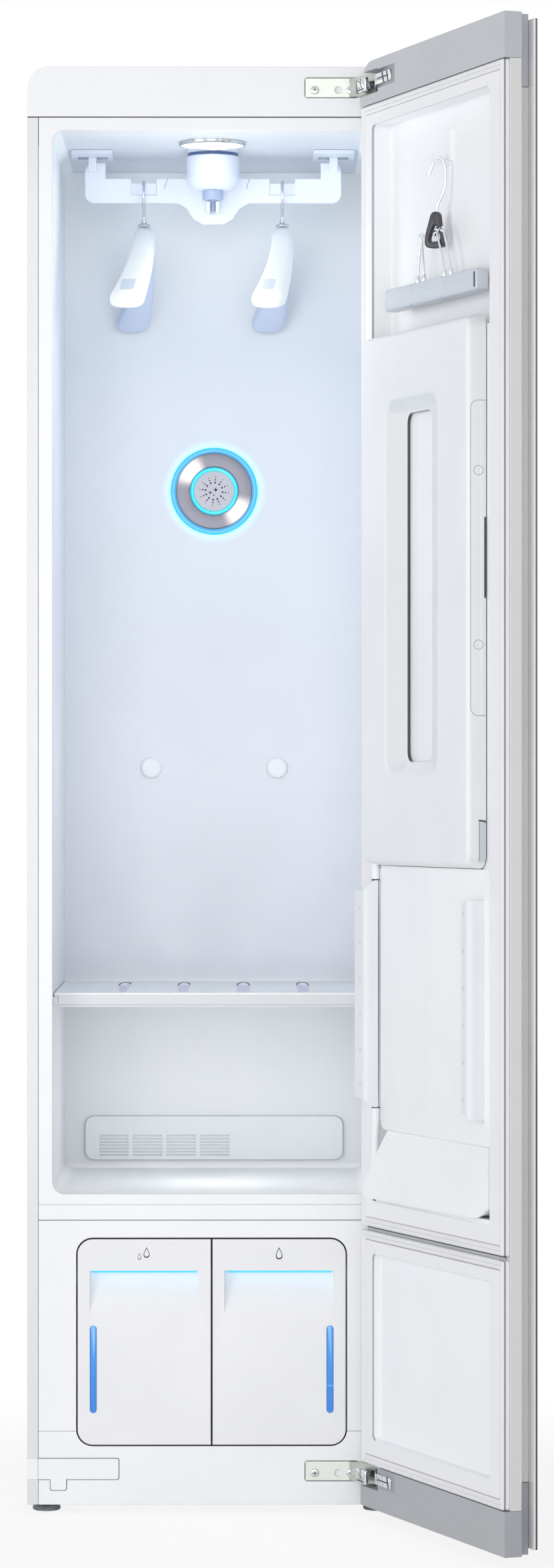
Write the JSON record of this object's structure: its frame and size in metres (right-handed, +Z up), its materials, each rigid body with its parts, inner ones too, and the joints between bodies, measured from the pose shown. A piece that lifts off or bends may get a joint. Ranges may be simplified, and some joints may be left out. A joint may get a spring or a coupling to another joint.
{
  "type": "clothes care steam cabinet",
  "caption": "Tall white clothes care cabinet with its mirror-glass door open: steam nozzle, hangers, shelf, trouser press in the door and water tanks below.",
  "frame": {"origin": "middle of the whole part's footprint on the floor, with the door open at 110 degrees", "axes": "+Z up, +Y to the back of the cabinet, +X to the right seen from the front; metres"},
  "size_m": [0.6272, 0.998, 1.85],
  "materials": {
    "white_lacquer": "satin white lacquer on sheet steel",
    "white_moulding": "satin white moulded plastic",
    "galvanised_steel": "bright plated steel",
    "dark_rubber": "matt dark rubber",
    "cavity_plastic": "satin blue-white moulded plastic",
    "inner_plastic": "satin white moulded plastic",
    "lamp_plastic": "lit milk-white lens",
    "blue_light": "lit blue lens",
    "brushed_ring": "radially brushed metal",
    "nozzle_plastic": "satin grey plastic",
    "clear_grey_plastic": "light grey-blue plastic",
    "machine_paint": "black machine enamel",
    "fan_plastic": "light grey plastic",
    "front_glass": "dark coated front glass",
    "edge_profile": "satin light grey profile",
    "grey_trim": "satin grey moulded caps",
    "soft_seal": "soft light grey seal",
    "dark_plastic": "dark satin plastic"
  },
  "bodies": {
    "cabinet": {"left_side_panel": "white_lacquer", "right_side_panel": "white_lacquer", "back_panel": "white_lacquer", "top_cap": "white_moulding", "front_frame": "white_moulding", "lower_fascia": "white_moulding", "kick_panel": "white_moulding", "hinge_hole_cover": "white_moulding", "base_pan": "galvanised_steel", "hinge_plate_upper": "galvanised_steel", "hinge_plate_lower": "galvanised_steel", "foot_front_left": "dark_rubber", "foot_front_right": "dark_rubber", "foot_back_left": "dark_rubber", "foot_back_right": "dark_rubber", "cavity_liner": "cavity_plastic", "shelf": "cavity_plastic", "vent_panel": "inner_plastic", "wall_pad_left": "inner_plastic", "wall_pad_right": "inner_plastic", "motor_cover": "inner_plastic", "slide_bracket_left": "inner_plastic", "slide_bracket_right": "inner_plastic", "tank_bay": "inner_plastic", "lamp_housing": "lamp_plastic", "nozzle_light_ring": "blue_light", "nozzle_steel_ring": "brushed_ring", "steam_generator": "brushed_ring", "nozzle_disc": "nozzle_plastic", "compressor": "machine_paint", "blower_housing": "machine_paint"},
    "door": {"door_glass": "front_glass", "door_frame": "edge_profile", "door_top_cap": "grey_trim", "door_bottom_cap": "grey_trim", "gasket_upper": "soft_seal", "gasket_lower": "soft_seal", "door_tray_upper": "inner_plastic", "door_tray_lower": "inner_plastic", "hinge_leaf_upper": "galvanised_steel", "hinge_leaf_lower": "galvanised_steel", "deflector": "inner_plastic"},
    "carriage": {"hanger_carriage": "inner_plastic"},
    "crank": {"crank": "galvanised_steel"},
    "hanger_left": {"hanger_left_hook": "galvanised_steel", "hanger_left_body": "inner_plastic"},
    "hanger_right": {"hanger_right_hook": "galvanised_steel", "hanger_right_body": "inner_plastic"},
    "drain_tank": {"drain_tank": "clear_grey_plastic", "drain_tank_front": "inner_plastic"},
    "water_tank": {"water_tank": "clear_grey_plastic", "water_tank_front": "inner_plastic"},
    "press_cover": {"press_cover": "inner_plastic"},
    "press_latch": {"press_latch": "inner_plastic"},
    "wing_left": {"wing_left": "inner_plastic"},
    "wing_right": {"wing_right": "inner_plastic"},
    "trouser_hanger": {"trouser_hanger_hook": "galvanised_steel", "trouser_hanger_clip": "dark_plastic", "trouser_clamp_bar": "clear_grey_plastic"},
    "blower_fan": {"blower_fan": "fan_plastic"}
  },
  "joints": [
    {"name": "door_hinge", "type": "hinge", "parent": "cabinet", "child": "door", "pos_m": [0.13837, -0.06704, 0.9], "axis": [0, 0, 1], "range_deg": [-110, 0]},
    {"name": "carriage_slide", "type": "slide", "parent": "cabinet", "child": "carriage", "axis": [1, 0, 0], "range_m": [-0.0138, 0.0138]},
    {"name": "crank_spin", "type": "hinge", "parent": "cabinet", "child": "crank", "pos_m": [-0.07763, 0.16896, 1.7], "axis": [0, 0, 1], "range_deg": [-60, 60]},
    {"name": "hanger_left_swing", "type": "hinge", "parent": "carriage", "child": "hanger_left", "pos_m": [-0.16963, 0.21096, 1.7303], "axis": [0, 1, 0], "range_deg": [-10, 10]},
    {"name": "hanger_right_swing", "type": "hinge", "parent": "carriage", "child": "hanger_right", "pos_m": [0.01437, 0.21096, 1.7303], "axis": [0, 1, 0], "range_deg": [-10, 10]},
    {"name": "drain_tank_slide", "type": "slide", "parent": "cabinet", "child": "drain_tank", "axis": [0, -1, 0], "range_m": [0, 0.25]},
    {"name": "water_tank_slide", "type": "slide", "parent": "cabinet", "child": "water_tank", "axis": [0, -1, 0], "range_m": [0, 0.25]},
    {"name": "press_cover_hinge", "type": "hinge", "parent": "door", "child": "press_cover", "pos_m": [0.12095, -0.10105, 1.16], "axis": [0, 0, -1], "range_deg": [0, 90]},
    {"name": "press_latch_push", "type": "slide", "parent": "press_cover", "child": "press_latch", "axis": [-0.342, 0.9397, 0], "range_m": [0, 0.0036], "stiffness_N_per_m": 800},
    {"name": "wing_left_fold", "type": "hinge", "parent": "door", "child": "wing_left", "pos_m": [0.13975, -0.11762, 0.66], "axis": [0, 0, 1], "range_deg": [0, 50]},
    {"name": "wing_right_fold", "type": "hinge", "parent": "door", "child": "wing_right", "pos_m": [0.25604, -0.43711, 0.66], "axis": [0, 0, 1], "range_deg": [0, 50]},
    {"name": "trouser_hanger_swing", "type": "hinge", "parent": "door", "child": "trouser_hanger", "pos_m": [0.20003, -0.27446, 1.701], "axis": [0.9397, 0.342, 0], "range_deg": [-7, 7]},
    {"name": "blower_spin", "type": "hinge", "parent": "cabinet", "child": "blower_fan", "pos_m": [-0.06763, 0.39, 0.15], "axis": [0, 1, 0], "continuous": true}
  ],
  "couplings": [
    {"joint": "crank_spin", "follows": "carriage_slide", "rad_per_m": -75.577}
  ]
}
